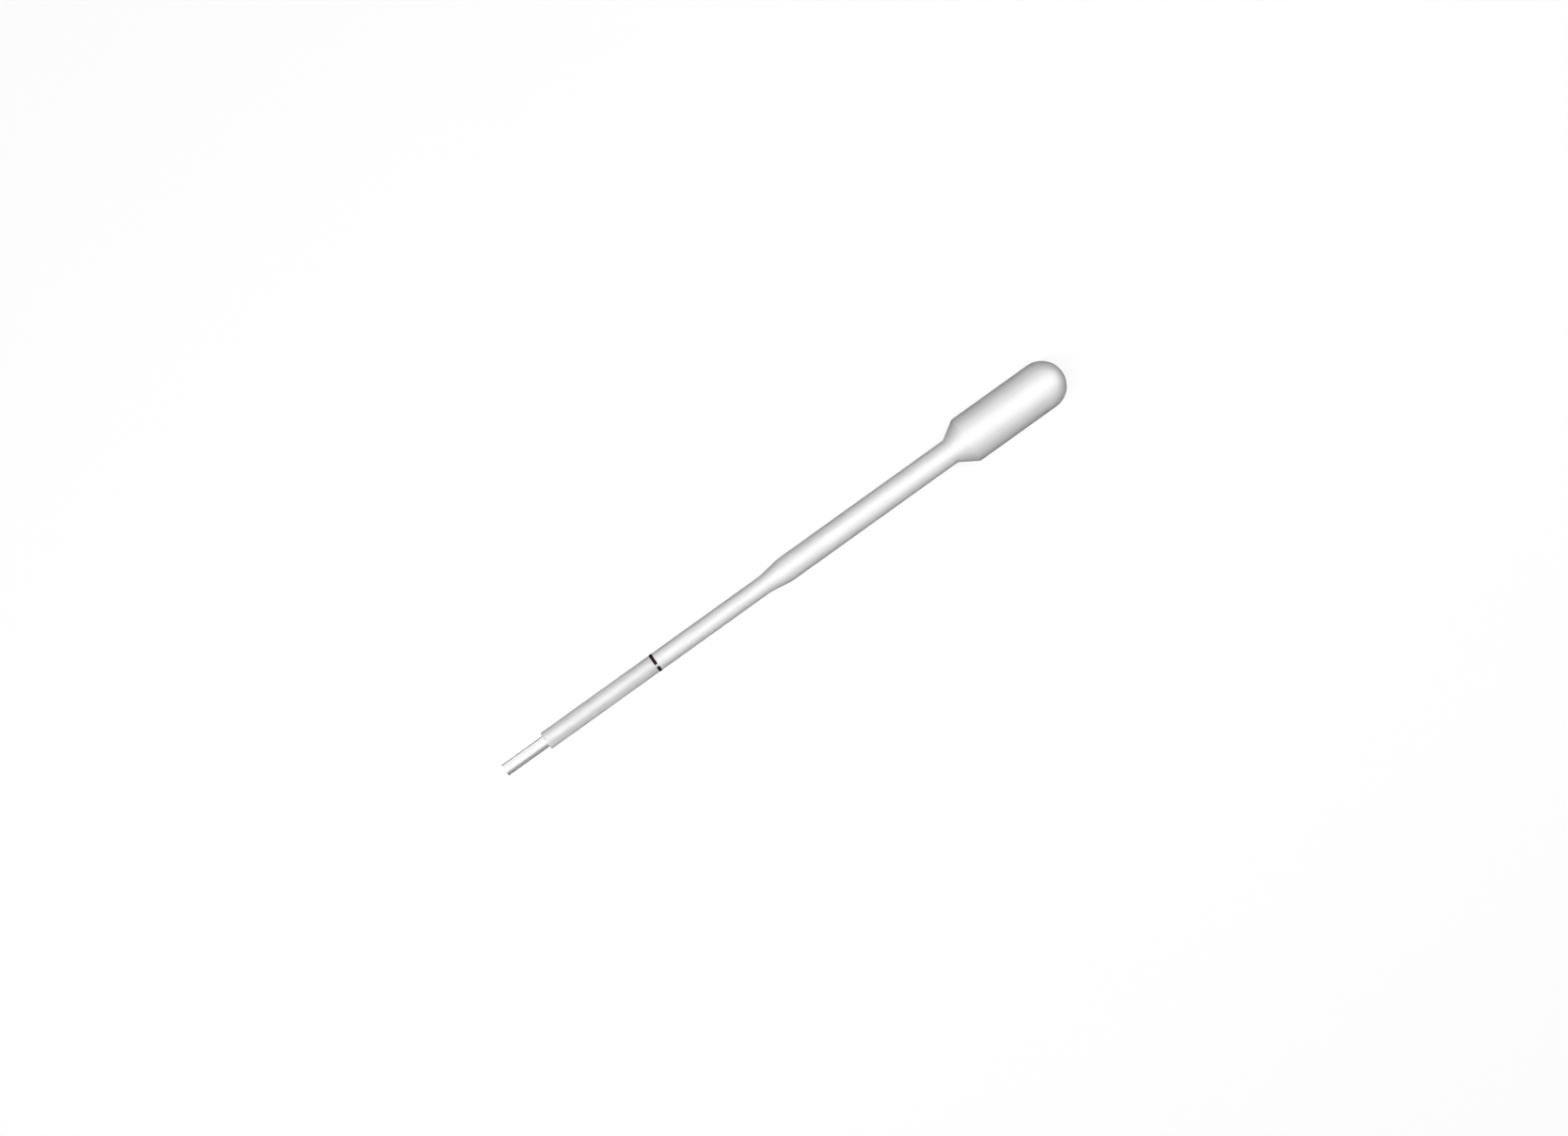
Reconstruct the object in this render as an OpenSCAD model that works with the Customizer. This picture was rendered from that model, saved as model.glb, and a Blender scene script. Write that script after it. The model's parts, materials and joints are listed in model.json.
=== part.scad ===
// Squeeze-bulb capillary pipette.
// A bulb and a stepped stem are blown as one hollow piece. A clear capillary tube is pressed
// into the stem's mouth, up to a printed fill line, and a small vent hole breaks that line.
// The pipette lies along X with its tip towards -X, as it comes to rest on a flat surface.

/* [Bulb] */
// Outside diameter of the bulb
bulb_d = 11.4; // [9:0.1:16]
// Length of the bulb's straight wall, without its round end
bulb_l = 20.8; // [10:0.1:40]
// Length of the cone from the upper stem to the bulb
shoulder_l = 4.5; // [3:0.1:9]
// Wall thickness of the bulb
bulb_wall = 0.5; // [0.3:0.05:0.8]

/* [Stem] */
// Outside diameter of the upper stem
upper_stem_d = 6; // [5:0.1:8]
// Length of the upper stem's straight wall
upper_stem_l = 46.2; // [20:0.1:80]
// Wall thickness of the upper stem
upper_stem_wall = 0.65; // [0.4:0.05:1]
// Length of the taper from the lower stem to the upper stem
taper_l = 5.3; // [3:0.1:12]
// Outside diameter of the lower stem
lower_stem_d = 4.4; // [3.8:0.1:4.9]
// Length of the lower stem's straight wall
lower_stem_l = 61.1; // [40:0.1:90]

/* [Capillary tube] */
// Outside diameter of the capillary tube
capillary_d = 2.9; // [2:0.1:3.2]
// Diameter of the capillary tube's bore
capillary_bore_d = 0.55; // [0.3:0.05:1.2]
// Length of the capillary tube that stands out of the stem's mouth
capillary_out_l = 11.4; // [4:0.1:20]
// Play between the capillary tube and the stem's bore, all round; 0 is a light press fit
capillary_play = 0; // [0:0.01:0.05]

/* [Fill line and vent hole] */
// Distance from the stem's mouth to the middle of the fill line
fill_line_at = 30.5; // [15:0.1:36]
// Width of the fill line
fill_line_w = 0.75; // [0.4:0.05:2]
// Thickness of the printed ink
fill_line_t = 0.05; // [0.03:0.01:0.2]
// Diameter of the vent hole
vent_d = 0.6; // [0.3:0.05:1]
// Turn of the vent hole round the stem, from straight up towards -Y, in degrees
vent_turn = 19; // [-80:1:80]
// Bare stem that is left between the vent hole and the ink on each side
vent_margin = 0.02; // [0.01:0.01:0.3]

/* [Hidden] */
$fn = 96;

// How far a cutting shape runs past the faces that it opens
past = 0.5;

// Where the round walls' seam lies, turned from straight up towards -Y. The shape stays the
// same, but a mesh counts its facets from here, and these keep it nearly level as it rests.
seam_turn = 6;

// Outside radii
bulb_r = bulb_d / 2;
upper_stem_r = upper_stem_d / 2;
lower_stem_r = lower_stem_d / 2;
capillary_r = capillary_d / 2;

// Inside radii
bulb_bore_r = bulb_r - bulb_wall;
upper_bore_r = upper_stem_r - upper_stem_wall;
lower_bore_r = capillary_r + capillary_play;

// Stations along the pipette's axis, counted from the capillary tube's tip
mouth_at = capillary_out_l;
taper_at = mouth_at + lower_stem_l;
upper_stem_at = taper_at + taper_l;
shoulder_at = upper_stem_at + upper_stem_l;
bulb_at = shoulder_at + shoulder_l;
dome_at = bulb_at + bulb_l;
line_at = mouth_at + fill_line_at;

// The capillary tube stops at the fill line's lower edge, and leaves the vent hole open
capillary_l = line_at - max(fill_line_w, vent_d) / 2;

// The pipette rests on the bulb's lower edge and tips until the first of these rims,
// each given as its station and radius, meets the surface too
rims = [
    [0, capillary_r],
    [mouth_at, lower_stem_r],
    [line_at, lower_stem_r + fill_line_t],
    [upper_stem_at, upper_stem_r],
    [shoulder_at, upper_stem_r]
];
tilt = min([for (rim = rims) atan((bulb_r - rim[1]) / (bulb_at - rim[0]))]);

// Where the axis passes above the surface at the tip, and the middle of the length lying down
tip_z = bulb_r * cos(tilt) - bulb_at * sin(tilt);
low_x = -capillary_r * sin(tilt);
high_x = dome_at * cos(tilt) + bulb_r;
mid_x = (low_x + high_x) / 2;

// Lays down a shape that is built up along +Z from the tip, with its seam facing +X
module lying() {
    translate([-mid_x, 0, tip_z]) rotate([0, 90 - tilt, 0]) rotate([0, 0, 180 + seam_turn])
        children();
}

// Turns a shape that faces +X to the vent hole's side of the stem
module on_vent_side() {
    rotate([0, 0, vent_turn - seam_turn]) children();
}

// Half section between the axis and one side of the wall
module half_section(start, lower_r, upper_r, round_r) {
    polygon([
        [0, start],
        [lower_r, start],
        [lower_r, taper_at],
        [upper_r, upper_stem_at],
        [upper_r, shoulder_at],
        [round_r, bulb_at],
        [round_r, dome_at],
        [0, dome_at]
    ]);
    translate([0, dome_at]) intersection() {
        circle(r = round_r);
        square(round_r);
    }
}

// Half section of the blown wall
module wall_section() {
    difference() {
        half_section(mouth_at, lower_stem_r, upper_stem_r, bulb_r);
        half_section(mouth_at - past, lower_bore_r, upper_bore_r, bulb_bore_r);
    }
}

// Hole through one side of the stem, at the middle of the fill line
module vent_hole() {
    on_vent_side() translate([0, 0, line_at]) rotate([0, 90, 0])
        cylinder(d = vent_d, h = lower_stem_r + past);
}

// Bulb, shoulder and both stems, in one hollow piece
module body() {
    color("#e9ebeb") lying() difference() {
        rotate_extrude() wall_section();
        vent_hole();
    }
}

// Clear tube that measures the sample, open at both ends
module capillary_tube() {
    color("#d3dadf") lying() difference() {
        cylinder(r = capillary_r, h = capillary_l);
        translate([0, 0, -past]) cylinder(d = capillary_bore_d, h = capillary_l + 2 * past);
    }
}

// Band of ink round the lower stem, with a gap at the vent hole
module fill_line() {
    gap = vent_d + 2 * vent_margin;
    color("#231815") lying() translate([0, 0, line_at - fill_line_w / 2]) difference() {
        cylinder(r = lower_stem_r + fill_line_t, h = fill_line_w);
        translate([0, 0, -past]) cylinder(r = lower_stem_r, h = fill_line_w + 2 * past);
        on_vent_side() translate([0, -gap / 2, -past])
            cube([lower_stem_r + fill_line_t + past, gap, fill_line_w + 2 * past]);
    }
}

body();
capillary_tube();
fill_line();
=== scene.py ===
import json
import math

import bmesh
import bpy
from mathutils import Matrix, Vector, noise


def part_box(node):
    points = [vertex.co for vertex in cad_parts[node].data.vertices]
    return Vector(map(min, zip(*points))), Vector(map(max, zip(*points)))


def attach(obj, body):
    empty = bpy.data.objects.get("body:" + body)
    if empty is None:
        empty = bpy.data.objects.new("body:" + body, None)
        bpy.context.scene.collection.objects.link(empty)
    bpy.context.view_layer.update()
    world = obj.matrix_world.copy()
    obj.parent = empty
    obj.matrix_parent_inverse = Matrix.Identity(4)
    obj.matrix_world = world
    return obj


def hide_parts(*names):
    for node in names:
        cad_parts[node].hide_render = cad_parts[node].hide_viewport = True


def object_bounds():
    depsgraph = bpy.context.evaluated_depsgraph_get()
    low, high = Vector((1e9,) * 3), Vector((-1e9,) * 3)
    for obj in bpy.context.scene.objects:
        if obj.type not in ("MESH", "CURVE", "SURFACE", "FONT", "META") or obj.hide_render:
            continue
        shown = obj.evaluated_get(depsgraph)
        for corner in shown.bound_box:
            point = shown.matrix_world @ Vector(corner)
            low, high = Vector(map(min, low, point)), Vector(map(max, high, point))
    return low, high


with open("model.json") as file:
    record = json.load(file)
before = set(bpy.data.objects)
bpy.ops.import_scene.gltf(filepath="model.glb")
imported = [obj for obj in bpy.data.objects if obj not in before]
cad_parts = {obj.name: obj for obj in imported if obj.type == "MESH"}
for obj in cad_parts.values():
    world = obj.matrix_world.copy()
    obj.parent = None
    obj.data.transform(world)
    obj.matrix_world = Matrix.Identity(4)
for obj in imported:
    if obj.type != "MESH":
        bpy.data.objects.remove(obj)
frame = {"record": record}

CAD_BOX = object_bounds()

# Looks of a squeeze-bulb capillary pipette that lies on a white table under a long softbox.
# Lengths are in metres. Each round piece is turned about Z with the pipette's tip at the origin,
# and then laid along the frame's own axis. A station is a distance from the tip along that axis.
MM = 0.001

# What the frame says of the pipette's axis, radii and stations. The mouth's rim and the bulb's
# lower edge lie on the table, which gives the lower stem's radius and the bulb's station.
MOUNTS = {mount["name"]: mount for mount in frame["record"]["mounts"]}
TIP_MOUNT = MOUNTS["capillary_tip"]
STEM_MOUNT = MOUNTS["upper_stem"]
TIP = Vector(TIP_MOUNT["pos_m"])
AXIS = -Vector(TIP_MOUNT["axis"]).normalized()
TILT = math.atan2(AXIS.z, AXIS.x)
BODY_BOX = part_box("body")
TUBE_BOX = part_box("capillary_tube")
LINE_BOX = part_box("fill_line")

TUBE_R = TIP_MOUNT["dims"]["r_mm"] * MM
UPPER_R = STEM_MOUNT["dims"]["r_mm"] * MM
BULB_R = (BODY_BOX[1][1] - BODY_BOX[0][1]) / 2
INK_R = (LINE_BOX[1][1] - LINE_BOX[0][1]) / 2
MOUTH = TIP_MOUNT["dims"]["length_mm"] * MM
LOWER_R = (TIP.z + MOUTH * AXIS.z) / AXIS.x
STEM_MIDDLE = (Vector(STEM_MOUNT["pos_m"]) - TIP).dot(AXIS)
STEM_HALF = STEM_MOUNT["dims"]["length_mm"] * MM / 2
UPPER_STEM = STEM_MIDDLE - STEM_HALF
SHOULDER = STEM_MIDDLE + STEM_HALF
BULB = (BULB_R * AXIS.x - TIP.z) / AXIS.z
DOME = (BODY_BOX[1][0] - BULB_R - TIP.x) / AXIS.x
LINE = ((LINE_BOX[0][0] + LINE_BOX[1][0]) / 2 - TIP.x) / AXIS.x
TUBE_END = (TUBE_BOX[1][0] - TIP.x - TUBE_R * AXIS.z) / AXIS.x

# What the frame can't say: walls, the taper's length, the bore, the printed line and the vent hole
TAPER_L = 5.3 * MM
BULB_WALL = 0.5 * MM
UPPER_WALL = 0.65 * MM
FIT_GAP = 0.02 * MM
LOWER_BORE_R = TUBE_R + FIT_GAP
TUBE_BORE_R = 0.275 * MM
LINE_W = 0.75 * MM
VENT_R = 0.3 * MM
VENT_TURN = math.radians(19)
VENT_MARGIN = 0.02 * MM
VENT_DISH = 0.13 * MM
VENT_THROAT_R = 0.12 * MM

# How far corners are rounded
TAPER_ROUND = 0.8 * MM
CONE_ROUND = 0.15 * MM
RIM_ROUND = 0.1 * MM
TUBE_ROUND = 0.04 * MM
INK_ROUND = 0.03 * MM

# How ragged the ink's long edges are, and how long their waves
INK_RAGGED = 0.02 * MM
INK_WAVE = 0.25 * MM

# How finely the round pieces are turned, and how near two points are one
SEGMENTS = 128
ROW_STEP = 1.0 * MM
DOME_STEPS = 20
SAME_POINT = 1e-7
NO_LENGTH = 1e-8

# The patch of wall that is opened to each side of the vent hole: its reach along the stem, its
# columns of faces round it, and how near its faces lie to the wall's radius
PATCH_REACH = 1.5 * VENT_R
PATCH_COLUMNS = 5
PATCH_DEPTH = 0.1 * MM

# Places of the body's and the tube's other finishes among their materials; the first one is 0.
# A body's face is inside from this cosine between its normal and the way out from the axis, and
# a tube's face is sawn from this cosine between its normal and the axis.
INSIDE, OVER_TUBE = 1, 2
SAWN = 1
INSIDE_COSINE = -0.3
SAWN_COSINE = 0.9

# The card of painted shade under the clear tube: half its width, and how far any card stays
# off what it lies by
TUBE_CARD_HALF = 0.3 * TUBE_R
CARD_GAP = 0.02 * MM


def linear(hex_colour):
    """The linear colour of an sRGB hex value such as "#f4f5f5"."""
    channels = [int(hex_colour[i:i + 2], 16) / 255 for i in (1, 3, 5)]
    return [c / 12.92 if c <= 0.04045 else ((c + 0.055) / 1.055) ** 2.4 for c in channels] + [1.0]


# --- Shapes ---------------------------------------------------------------------------------

def laid_down():
    """Turns local Z to the pipette's axis and local X to its upper side, and sets the tip down."""
    up = Vector((-AXIS.z, 0, AXIS.x))
    side = AXIS.cross(up)
    turn = Matrix((up, side, AXIS)).transposed()
    return Matrix.Translation(TIP) @ turn.to_4x4()


def quarter_round(station, radius):
    """Points of a round end about a station, from its side to its pole."""
    turns = [math.pi / 2 * i / DOME_STEPS for i in range(DOME_STEPS + 1)]
    return [(station + radius * math.sin(turn), radius * math.cos(turn)) for turn in turns]


def section_face(bm, points):
    """A flat face in the XZ plane through points, each a station and a radius."""
    verts = [bm.verts.new((radius, 0, station)) for station, radius in points]
    bm.faces.new(verts)
    return verts


def round_corners(bm, verts, radius, steps=5):
    """Rounds corners of a flat section."""
    bmesh.ops.bevel(bm, geom=verts, offset=radius, offset_type="OFFSET", segments=steps,
                    profile=0.5, affect="VERTICES", material=-1)


def turn_section(bm, start=0.0, angle=math.tau):
    """Splits the section's long edges, turns it about Z and closes its poles."""
    bmesh.ops.delete(bm, geom=bm.faces[:], context="FACES_ONLY")
    for edge in bm.edges[:]:
        cuts = int(edge.calc_length() / ROW_STEP)
        if cuts:
            bmesh.ops.subdivide_edges(bm, edges=[edge], cuts=cuts)
    bmesh.ops.rotate(bm, verts=bm.verts[:], cent=(0, 0, 0), matrix=Matrix.Rotation(start, 3, "Z"))
    bmesh.ops.spin(bm, geom=bm.verts[:] + bm.edges[:], cent=(0, 0, 0), axis=(0, 0, 1),
                   angle=angle, steps=SEGMENTS, use_merge=angle == math.tau)
    bmesh.ops.remove_doubles(bm, verts=bm.verts[:], dist=SAME_POINT)
    bmesh.ops.dissolve_degenerate(bm, edges=bm.edges[:], dist=NO_LENGTH)


def mesh_object(bm, name, *materials):
    """Turns a bmesh into an object of the scene with its materials."""
    mesh = bpy.data.meshes.new(name)
    bm.to_mesh(mesh)
    bm.free()
    for material in materials:
        mesh.materials.append(material)
    made = bpy.data.objects.new(name, mesh)
    bpy.context.scene.collection.objects.link(made)
    return made


def finished_piece(bm, name, *materials):
    """Lays the turned shape down as a smooth piece of its own."""
    bmesh.ops.recalc_face_normals(bm, faces=bm.faces[:])
    bm.transform(laid_down())
    piece = mesh_object(bm, name, *materials)
    piece.data.shade_smooth()
    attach(piece, "root")
    return piece


def wall_section(bm):
    """Half section of the blown wall, from the stem's mouth to the bulb's round end."""
    taper = UPPER_STEM - TAPER_L
    upper_bore_r = UPPER_R - UPPER_WALL
    bulb_bore_r = BULB_R - BULB_WALL
    # Each row is a station, the radii outside and inside, and how far those corners are rounded.
    wall = [(MOUTH, LOWER_R, LOWER_BORE_R, RIM_ROUND),
            (LINE - PATCH_REACH, LOWER_R, LOWER_BORE_R, 0),
            (LINE + PATCH_REACH, LOWER_R, LOWER_BORE_R, 0),
            (taper, LOWER_R, LOWER_BORE_R, TAPER_ROUND),
            (UPPER_STEM, UPPER_R, upper_bore_r, TAPER_ROUND),
            (SHOULDER, UPPER_R, upper_bore_r, CONE_ROUND),
            (BULB, BULB_R, bulb_bore_r, CONE_ROUND)]
    outside = [(station, outer) for station, outer, _, _ in wall]
    inside = [(station, inner) for station, _, inner, _ in reversed(wall)]
    verts = section_face(bm, outside + quarter_round(DOME, BULB_R)
                         + quarter_round(DOME, bulb_bore_r)[::-1] + inside)
    for radius in (TAPER_ROUND, CONE_ROUND, RIM_ROUND):
        rows = [i for i, (_, _, _, rounding) in enumerate(wall) if rounding == radius]
        round_corners(bm, [verts[i] for i in rows] + [verts[-1 - i] for i in rows], radius)


def vent_patch(bm, radius):
    """Opens the wall at one radius round the vent hole, and returns the opening's rim."""
    half_turn = PATCH_COLUMNS * math.tau / SEGMENTS
    faces = []
    for face in bm.faces:
        middle = face.calc_center_median()
        turn = math.atan2(middle.y, middle.x) - VENT_TURN
        depth = math.hypot(middle.x, middle.y) - radius
        if (abs(middle.z - LINE) < PATCH_REACH and abs(turn) < half_turn
                and abs(depth) < PATCH_DEPTH):
            faces.append(face)
    patch = set(faces)
    rim = [edge for face in faces for edge in face.edges
           if len(patch.intersection(edge.link_faces)) == 1]
    bmesh.ops.delete(bm, geom=faces, context="FACES_ONLY")
    return rim


def vent_ring(bm, radius, hole_r, segments):
    """A ring of radius hole_r round the vent hole's middle, which lies at a radius of the stem."""
    made = bmesh.ops.create_circle(bm, segments=segments, radius=hole_r,
                                   matrix=Matrix.Rotation(math.pi / 2, 4, "Y"))
    for vert in made["verts"]:
        vert.co.x = math.sqrt(radius ** 2 - vert.co.y ** 2)
        vert.co.z += LINE
    bmesh.ops.rotate(bm, verts=made["verts"], cent=(0, 0, 0),
                     matrix=Matrix.Rotation(VENT_TURN, 3, "Z"))
    return list(dict.fromkeys(edge for vert in made["verts"] for edge in vert.link_edges))


def pierce_vent(bm):
    """Cuts the vent hole through the stem's wall: a pricked dish with a finer throat below it."""
    outer_rim, inner_rim = vent_patch(bm, LOWER_R), vent_patch(bm, LOWER_BORE_R)
    count = len(outer_rim)
    lip = vent_ring(bm, LOWER_R, VENT_R, count)
    throat = vent_ring(bm, LOWER_R - VENT_DISH, VENT_THROAT_R, count)
    bottom = vent_ring(bm, LOWER_BORE_R, VENT_THROAT_R, count)
    for one, other in ((outer_rim, lip), (lip, throat), (throat, bottom), (bottom, inner_rim)):
        bmesh.ops.bridge_loops(bm, edges=one + other)


def body(outside, inside, over_tube):
    """Bulb, shoulder and both stems, blown in one hollow piece."""
    bm = bmesh.new()
    wall_section(bm)
    turn_section(bm, start=VENT_TURN)
    pierce_vent(bm)
    bmesh.ops.recalc_face_normals(bm, faces=bm.faces[:])
    for face in bm.faces:
        middle = face.calc_center_median()
        if middle.z < LINE:
            face.material_index = OVER_TUBE
        # The way out starts on the axis beside the face, or at the round end's centre past it.
        way_out = Vector((middle.x, middle.y, max(0.0, middle.z - DOME)))
        if way_out.dot(face.normal) < INSIDE_COSINE * way_out.length:
            face.material_index = INSIDE
    piece = finished_piece(bm, "blown_bulb_and_stem", outside, inside, over_tube)
    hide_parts("body")


def capillary_tube(clear, sawn):
    """Clear tube, sawn square at both ends."""
    bm = bmesh.new()
    verts = section_face(bm, [(0, TUBE_R), (TUBE_END, TUBE_R), (TUBE_END, TUBE_BORE_R),
                              (0, TUBE_BORE_R)])
    round_corners(bm, verts, TUBE_ROUND, steps=3)
    turn_section(bm)
    bmesh.ops.recalc_face_normals(bm, faces=bm.faces[:])
    for face in bm.faces:
        if abs(face.normal.z) > SAWN_COSINE:
            face.material_index = SAWN
    piece = finished_piece(bm, "clear_capillary_tube", clear, sawn)
    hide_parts("capillary_tube")


def fill_line(ink):
    """Printed band round the stem that leaves the vent hole open."""
    bm = bmesh.new()
    low, high = LINE - LINE_W / 2, LINE + LINE_W / 2
    verts = section_face(bm, [(low, LOWER_R), (low, INK_R), (high, INK_R), (high, LOWER_R)])
    round_corners(bm, verts[1:3], INK_ROUND, steps=3)
    gap = 2 * math.asin((VENT_R + VENT_MARGIN) / LOWER_R)
    turn_section(bm, start=VENT_TURN + gap / 2, angle=math.tau - gap)
    ends = [edge for edge in bm.edges if edge.is_boundary]
    bmesh.ops.holes_fill(bm, edges=ends, sides=0)
    for vert in bm.verts:
        vert.co.z += INK_RAGGED * noise.noise(vert.co / INK_WAVE)
    piece = finished_piece(bm, "printed_fill_line", ink)
    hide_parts("fill_line")


# --- Materials ------------------------------------------------------------------------------

def add(tree, kind, values=None, links=None, **settings):
    """Adds a node with its settings, its sockets' values and links from other nodes' sockets."""
    node = tree.nodes.new(kind)
    for name, value in settings.items():
        setattr(node, name, value)
    for name, value in (values or {}).items():
        node.inputs[name].default_value = value
    for name, socket in (links or {}).items():
        tree.links.new(socket, node.inputs[name])
    return node


def new_material(name):
    """An empty node material and its output."""
    material = bpy.data.materials.new(name)
    material.use_nodes = True
    tree = material.node_tree
    tree.nodes.clear()
    return material, tree, add(tree, "ShaderNodeOutputMaterial")


def on_the_axis(tree, cell=(1, 1, 1)):
    """Object coordinates turned to the pipette's axis and centred on its tip, in cells of a size.

    X runs along the pipette, Y across it, and Z up.
    """
    coords = add(tree, "ShaderNodeTexCoord")
    return add(tree, "ShaderNodeMapping", {
        "Location": TIP, "Rotation": (0, -TILT, 0), "Scale": cell},
        {"Vector": coords.outputs["Object"]}, vector_type="TEXTURE").outputs[0]


def lengthwise_streaks(tree, width, length):
    """Streaks that run along the pipette, each about as wide and as long as given."""
    return add(tree, "ShaderNodeTexNoise", {"Scale": 1.0, "Detail": 2.0, "Roughness": 0.6},
               {"Vector": on_the_axis(tree, (length, width, width))}).outputs[0]


def parting_line(tree):
    """1 along the line where the two halves of the blow mould met, level with the axis.

    It fades out from 0.04 mm to 0.11 mm above and below the middle of the line.
    """
    place = add(tree, "ShaderNodeSeparateXYZ", links={"Vector": on_the_axis(tree)})
    height = add(tree, "ShaderNodeMath", links={0: place.outputs["Z"]}, operation="ABSOLUTE")
    return add(tree, "ShaderNodeMapRange", {
        "From Min": 0.04 * MM, "From Max": 0.11 * MM, "To Min": 1.0, "To Max": 0.0},
        {"Value": height.outputs[0]}, interpolation_type="SMOOTHSTEP").outputs[0]


def natural_ldpe(name, clearness, shine, smoothest, roughest):
    """Natural low-density polyethylene, blown in a fine-blasted mould.

    The resin is milky and waxy. The parison it is blown from is drawn lengthwise, which leaves
    faint streaks of thicker and thinner wall. The blasted mould gives a satin, slightly
    pebbled face, and its two halves leave a low smooth line along both sides.
    """
    material, tree, output = new_material(name)
    # Real draw streaks are about 0.2 mm wide; they are drawn at 0.5 mm, so that they show.
    streaks = lengthwise_streaks(tree, width=0.5 * MM, length=25 * MM)
    # Milkier and thinner patches of wall are about 9 mm long and 4 mm across.
    cloud = add(tree, "ShaderNodeTexNoise", {"Scale": 1.0, "Detail": 3.0},
                {"Vector": on_the_axis(tree, (9 * MM, 4 * MM, 4 * MM))})
    # Real pebbles from the blasted mould are about 0.1 mm across; they are drawn at 0.35 mm.
    pebble = add(tree, "ShaderNodeTexNoise", {"Scale": 1.0, "Detail": 2.0},
                 {"Vector": on_the_axis(tree, (0.35 * MM, 0.35 * MM, 0.35 * MM))})
    line = parting_line(tree)

    wall = add(tree, "ShaderNodeMix", {"Factor": 0.5}, {"A": streaks, "B": cloud.outputs[0]})
    milk = add(tree, "ShaderNodeValToRGB", links={"Fac": wall.outputs["Result"]})
    milk.color_ramp.elements[0].position = 0.32
    milk.color_ramp.elements[0].color = linear("#ececec")
    milk.color_ramp.elements[1].position = 0.66
    milk.color_ramp.elements[1].color = linear("#f8f8f8")

    line_roughness = 0.34
    gloss = add(tree, "ShaderNodeMapRange", {"To Min": smoothest, "To Max": roughest},
                {"Value": streaks})
    worn = add(tree, "ShaderNodeMix", {"B": line_roughness},
               {"Factor": line, "A": gloss.outputs[0]})

    # Heights of the streaks, the pebbles and the parting line, in steps of the bump's distance
    streak_height, pebble_height, line_height = 0.6, 0.35, 2.5
    ripple = add(tree, "ShaderNodeMath", {1: streak_height}, {0: streaks}, operation="MULTIPLY")
    grain = add(tree, "ShaderNodeMath", {1: pebble_height}, {0: pebble.outputs[0]},
                operation="MULTIPLY")
    skin = add(tree, "ShaderNodeMath", links={0: ripple.outputs[0], 1: grain.outputs[0]},
               operation="ADD")
    ridge = add(tree, "ShaderNodeMath", {1: line_height}, {0: line, 2: skin.outputs[0]},
                operation="MULTIPLY_ADD")
    bump = add(tree, "ShaderNodeBump", {"Strength": 1.0, "Distance": 0.003 * MM},
               {"Height": ridge.outputs[0]})

    shader = add(tree, "ShaderNodeBsdfPrincipled", {
        "IOR": 1.51, "Specular IOR Level": shine, "Transmission Weight": clearness}, {
        "Base Color": milk.outputs["Color"], "Roughness": worn.outputs["Result"],
        "Normal": bump.outputs[0]})
    tree.links.new(shader.outputs[0], output.inputs["Surface"])
    return material


def ldpe_inside():
    """The blown wall's inner face, which no mould touches: smooth, glossy and clear."""
    material, tree, output = new_material("blown_natural_ldpe_inside")
    streaks = lengthwise_streaks(tree, width=0.6 * MM, length=30 * MM)
    gloss = add(tree, "ShaderNodeMapRange", {"To Min": 0.05, "To Max": 0.14}, {"Value": streaks})
    shader = add(tree, "ShaderNodeBsdfPrincipled", {
        "Base Color": linear("#f8f8f8"), "IOR": 1.51, "Transmission Weight": 1.0},
        {"Roughness": gloss.outputs[0]})
    tree.links.new(shader.outputs[0], output.inputs["Surface"])
    return material


def clear_plastic():
    """Clear rigid plastic, extruded as a tube.

    The die leaves it smooth and glassy, with faint lines along its length that break up what
    is seen through it. Seen edge-on, its colour turns dark grey: painted shade on its edges.
    """
    material, tree, output = new_material("clear_extruded_plastic")
    # Real die lines are some hundredths of a millimetre apart; they are drawn at 0.3 mm.
    streaks = lengthwise_streaks(tree, width=0.3 * MM, length=12 * MM)
    bump = add(tree, "ShaderNodeBump", {"Strength": 1.0, "Distance": 0.0003 * MM},
               {"Height": streaks})
    gloss = add(tree, "ShaderNodeMapRange", {"To Min": 0.02, "To Max": 0.06}, {"Value": streaks})
    # Painted shade: the colour turns from near white to dark grey where the tube is seen edge-on.
    painted_shade_mask = add(tree, "ShaderNodeLayerWeight", {"Blend": 0.5})
    depth = add(tree, "ShaderNodeValToRGB", links={"Fac": painted_shade_mask.outputs["Facing"]})
    depth.color_ramp.elements[0].position = 0.36
    depth.color_ramp.elements[0].color = linear("#fdfdfd")
    depth.color_ramp.elements[1].position = 0.56
    depth.color_ramp.elements[1].color = linear("#3a3a3c")
    shader = add(tree, "ShaderNodeBsdfPrincipled", {
        "IOR": 1.49, "Transmission Weight": 1.0},
        {"Base Color": depth.outputs["Color"], "Roughness": gloss.outputs[0],
         "Normal": bump.outputs[0]})
    tree.links.new(shader.outputs[0], output.inputs["Surface"])
    return material


def sawn_plastic():
    """The clear tube's sawn ends: frosted by fine parallel marks of the blade."""
    material, tree, output = new_material("sawn_clear_plastic")
    # Real saw marks are finer; they are drawn 0.12 mm apart.
    marks = add(tree, "ShaderNodeTexNoise", {"Scale": 1.0, "Detail": 3.0},
                {"Vector": on_the_axis(tree, (1 * MM, 1.5 * MM, 0.12 * MM))})
    bump = add(tree, "ShaderNodeBump", {"Strength": 1.0, "Distance": 0.01 * MM},
               {"Height": marks.outputs[0]})
    frost = add(tree, "ShaderNodeMapRange", {"To Min": 0.4, "To Max": 0.6},
                {"Value": marks.outputs[0]})
    shader = add(tree, "ShaderNodeBsdfPrincipled", {
        "Base Color": linear("#f6f8f9"), "IOR": 1.49, "Transmission Weight": 0.8},
        {"Roughness": frost.outputs[0], "Normal": bump.outputs[0]})
    tree.links.new(shader.outputs[0], output.inputs["Surface"])
    return material


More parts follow.
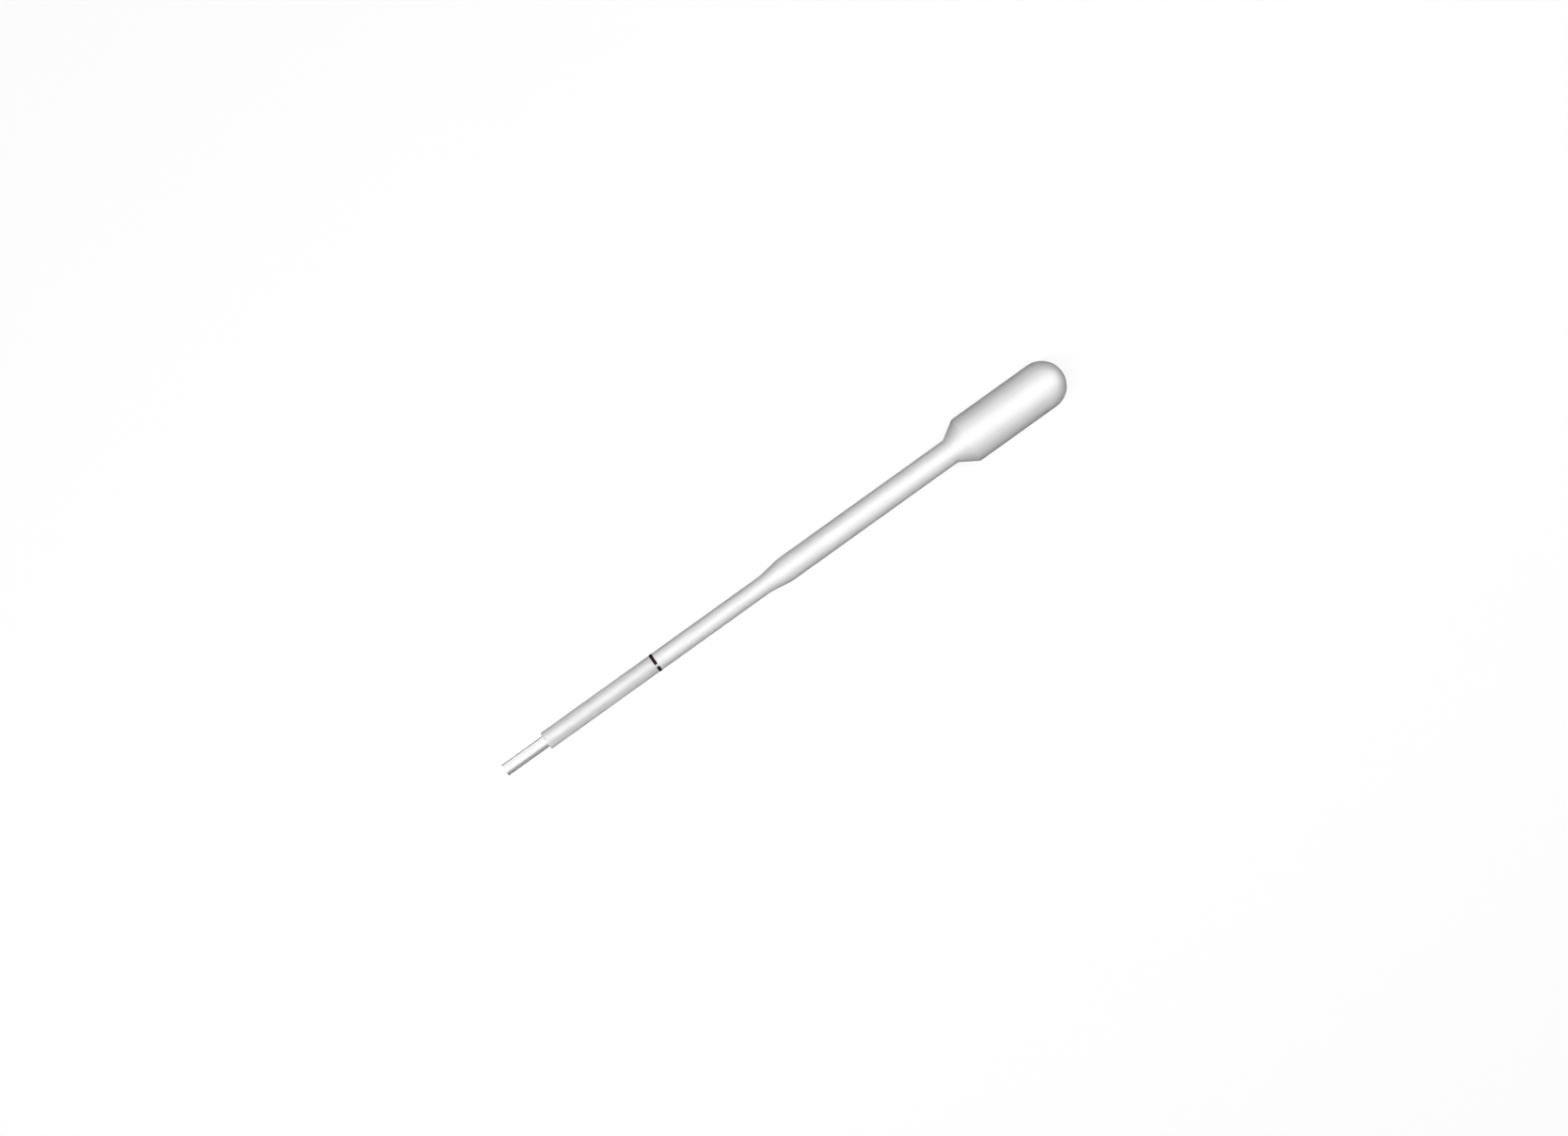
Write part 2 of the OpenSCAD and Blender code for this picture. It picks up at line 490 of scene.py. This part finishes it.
def black_ink():
    """Pad-printed ink: a thin warm black film with a dull satin face that is slightly mottled."""
    material, tree, output = new_material("printed_black_ink")
    # Real mottle is about 0.1 mm across; it is drawn at 0.3 mm.
    mottle = add(tree, "ShaderNodeTexNoise", {"Scale": 1.0, "Detail": 4.0, "Roughness": 0.6},
                 {"Vector": on_the_axis(tree, (0.3 * MM, 0.3 * MM, 0.3 * MM))})
    film = add(tree, "ShaderNodeValToRGB", links={"Fac": mottle.outputs[0]})
    film.color_ramp.elements[0].position = 0.35
    film.color_ramp.elements[0].color = linear("#1a100e")
    film.color_ramp.elements[1].position = 0.7
    film.color_ramp.elements[1].color = linear("#261a17")
    satin = add(tree, "ShaderNodeMapRange", {"To Min": 0.55, "To Max": 0.75},
                {"Value": mottle.outputs[0]})
    bump = add(tree, "ShaderNodeBump", {"Strength": 1.0, "Distance": 0.004 * MM},
               {"Height": mottle.outputs[0]})
    shader = add(tree, "ShaderNodeBsdfPrincipled", {
        "IOR": 1.5, "Specular IOR Level": 0.06}, {
        "Base Color": film.outputs["Color"], "Roughness": satin.outputs[0],
        "Normal": bump.outputs[0]})
    tree.links.new(shader.outputs[0], output.inputs["Surface"])
    return material


# --- Table, light and camera ------------------------------------------------------------------

def seen_rays(tree):
    """1 for camera, glossy and transmission rays, which see a white room, and 0 for all others."""
    path = add(tree, "ShaderNodeLightPath")
    either = add(tree, "ShaderNodeMath", operation="MAXIMUM", links={
        0: path.outputs["Is Camera Ray"], 1: path.outputs["Is Glossy Ray"]})
    return add(tree, "ShaderNodeMath", operation="MAXIMUM", links={
        0: either.outputs[0], 1: path.outputs["Is Transmission Ray"]}).outputs[0]


def table_finish():
    """White to whatever sees it, with the pipette's soft shadow, and a dim grey to diffuse light.

    Near the pipette, a glow and what the softbox lights come to white together, so a shadow
    shows. That part fades out away from the pipette, so the table has no edge.
    """
    material, tree, output = new_material("white_table")
    coords = add(tree, "ShaderNodeTexCoord")
    away = add(tree, "ShaderNodeVectorMath", links={0: coords.outputs["Object"]},
               operation="LENGTH")
    fade = add(tree, "ShaderNodeMapRange", {"From Min": 0.15, "From Max": 0.45},
               {"Value": away.outputs["Value"]}, interpolation_type="SMOOTHSTEP").outputs[0]
    glow = add(tree, "ShaderNodeEmission", {"Color": linear("#ffffff"), "Strength": 0.85})
    catcher = add(tree, "ShaderNodeBsdfDiffuse", {"Color": linear("#787878")})
    near = add(tree, "ShaderNodeAddShader", links={0: glow.outputs[0], 1: catcher.outputs[0]})
    white = add(tree, "ShaderNodeEmission", {"Color": linear("#ffffff"), "Strength": 1.0})
    seen = add(tree, "ShaderNodeMixShader", links={0: fade, 1: near.outputs[0],
                                                   2: white.outputs[0]})
    dim = add(tree, "ShaderNodeBsdfDiffuse", {"Color": linear("#767676")})
    mix = add(tree, "ShaderNodeMixShader", links={
        0: seen_rays(tree), 1: dim.outputs[0], 2: seen.outputs[0]})
    tree.links.new(mix.outputs[0], output.inputs["Surface"])
    return material


def table():
    """A wide flat table under the pipette."""
    bm = bmesh.new()
    bmesh.ops.create_grid(bm, x_segments=2, y_segments=2, size=3.0)
    top = mesh_object(bm, "table", table_finish())


def card(name, corners, material, glossy=False, clear=False):
    """A card that only gloss or clear plastic sees, and that lights and shadows nothing."""
    bm = bmesh.new()
    bm.faces.new([bm.verts.new(corner) for corner in corners])
    sheet = mesh_object(bm, name, material)
    sheet.visible_camera = False
    sheet.visible_diffuse = False
    sheet.visible_shadow = False
    sheet.visible_glossy = glossy
    sheet.visible_transmission = clear


def black_flag():
    """A flag that gives back no light."""
    material, tree, output = new_material("black_flag")
    black = add(tree, "ShaderNodeEmission", {"Color": linear("#000000"), "Strength": 1.0})
    tree.links.new(black.outputs[0], output.inputs["Surface"])
    return material


def flags():
    """Black flags beside the pipette and under it, which keep the white room out of its gloss."""
    # Half lengths of the flag below and of those beside, and the latter's distance and height
    floor_half, side_half, side_y, side_z = 0.12, 1.0, 0.3, 0.2
    black = black_flag()
    card("floor_flag", [(-floor_half, -side_y, CARD_GAP), (floor_half, -side_y, CARD_GAP),
                        (floor_half, side_y, CARD_GAP), (-floor_half, side_y, CARD_GAP)],
         black, glossy=True)
    for name, y in (("left_flag", side_y), ("right_flag", -side_y)):
        card(name, [(-side_half, y, 0), (side_half, y, 0),
                    (side_half, y, side_z), (-side_half, y, side_z)], black, glossy=True)


def painted_shade_card():
    """A glowing card for the clear tube: white, with a dark band of painted shade along one side.
    """
    material, tree, output = new_material("painted_shade_card")
    coords = add(tree, "ShaderNodeTexCoord")
    place = add(tree, "ShaderNodeSeparateXYZ", links={"Vector": coords.outputs["Object"]})
    across = add(tree, "ShaderNodeMapRange", {
        "From Min": -TUBE_CARD_HALF, "From Max": TUBE_CARD_HALF}, {"Value": place.outputs["Y"]})
    shade = add(tree, "ShaderNodeValToRGB", links={"Fac": across.outputs[0]})
    # Painted shade: the card glows white, with a dark band that shows as one dark side of the
    # tube.
    stops = [(0.16, "#1e1a24"), (0.32, "#e2e2e2"), (1.0, "#f2f2f2")]
    shade.color_ramp.elements.new(stops[1][0])
    for element, (position, colour) in zip(shade.color_ramp.elements, stops):
        element.position = position
        element.color = linear(colour)
    glow = add(tree, "ShaderNodeEmission", {"Strength": 1.0}, {"Color": shade.outputs["Color"]})
    tree.links.new(glow.outputs[0], output.inputs["Surface"])
    return material


def tube_shade_card():
    """The card lies close under the clear tube; its painted shade gives the tube one dark side."""
    down = Vector((AXIS.z, 0, -AXIS.x)) * (TUBE_R + CARD_GAP)
    tip, end = TIP + down, TIP + AXIS * TUBE_END + down
    half = TUBE_CARD_HALF
    card("tube_shade_card", [(tip.x, -half, tip.z), (end.x, -half, end.z), (end.x, half, end.z),
                       (tip.x, half, tip.z)], painted_shade_card(), clear=True)


def surroundings():
    """A white room to the camera and in reflections, and a dim one to diffuse light."""
    world = bpy.data.worlds.new("room")
    bpy.context.scene.world = world
    world.use_nodes = True
    tree = world.node_tree
    tree.nodes.clear()
    white = add(tree, "ShaderNodeBackground", {"Color": linear("#ffffff"), "Strength": 1.0})
    dim = add(tree, "ShaderNodeBackground", {"Color": linear("#ffffff"), "Strength": 0.05})
    mix = add(tree, "ShaderNodeMixShader", links={
        0: seen_rays(tree), 1: dim.outputs[0], 2: white.outputs[0]})
    output = add(tree, "ShaderNodeOutputWorld")
    tree.links.new(mix.outputs[0], output.inputs["Surface"])


def softbox(name, place, length, width, power, lights_matt=True):
    """A lamp that faces the pipette's middle; its power is in watts."""
    light = bpy.data.lights.new(name, "AREA")
    light.shape = "RECTANGLE"
    light.size = length
    light.size_y = width
    light.energy = power
    lamp = bpy.data.objects.new(name, light)
    lamp.location = place
    lamp.rotation_euler = (-Vector(place)).to_track_quat("-Z", "Y").to_euler()
    lamp.visible_camera = False
    lamp.visible_diffuse = lights_matt
    bpy.context.scene.collection.objects.link(lamp)


def lamps():
    """A softbox over the pipette, and three that only its gloss sees.

    The wide one broadens the gloss along its upper side. The two past its ends carry the gloss
    over the cone and the round end.
    """
    softbox("long_softbox", (0, 0, 0.45), length=0.9, width=0.1, power=2.55)
    softbox("wide_softbox", (0, 0, 0.47), length=0.9, width=1.0, power=5.65, lights_matt=False)
    for name, x in (("bulb_end_softbox", 0.95), ("tip_end_softbox", -0.95)):
        softbox(name, (x, 0, 0.45), length=1.0, width=0.2, power=21, lights_matt=False)


def camera():
    """Looks straight down from a long way off, turned so that the bulb points up to the right."""
    lens = bpy.data.cameras.new("camera")
    lens.lens = 200
    lens.sensor_width = 36
    view = bpy.data.objects.new("camera", lens)
    turn = math.radians(-35.6325)
    right = Vector((math.cos(turn), math.sin(turn), 0))
    up = Vector((-math.sin(turn), math.cos(turn), 0))
    # The view has this width at about the height of the axis halfway along the pipette.
    view_width = 354.7 * MM
    axis_z = (CAD_BOX[0][2] + CAD_BOX[1][2]) / 3
    distance = view_width * lens.lens / lens.sensor_width
    # The middle of the view lies slightly off the middle of the pipette.
    aim = right * 0.15 * MM + up * 0.70 * MM
    view.location = aim + Vector((0, 0, axis_z + distance))
    view.rotation_euler = (0, 0, turn)
    bpy.context.scene.collection.objects.link(view)
    bpy.context.scene.camera = view


camera()
bpy.context.scene.view_settings.view_transform = "Standard"
table()
surroundings()
lamps()
flags()
tube_shade_card()
# Where the wall lies close on the capillary tube, it looks a little clearer and smoother.
body(natural_ldpe("blown_natural_ldpe", clearness=0.15, shine=1.0, smoothest=0.5, roughest=0.62),
     ldpe_inside(),
     natural_ldpe("blown_natural_ldpe_over_the_tube", clearness=0.5, shine=0.6, smoothest=0.44,
                  roughest=0.56))
capillary_tube(clear_plastic(), sawn_plastic())
fill_line(black_ink())
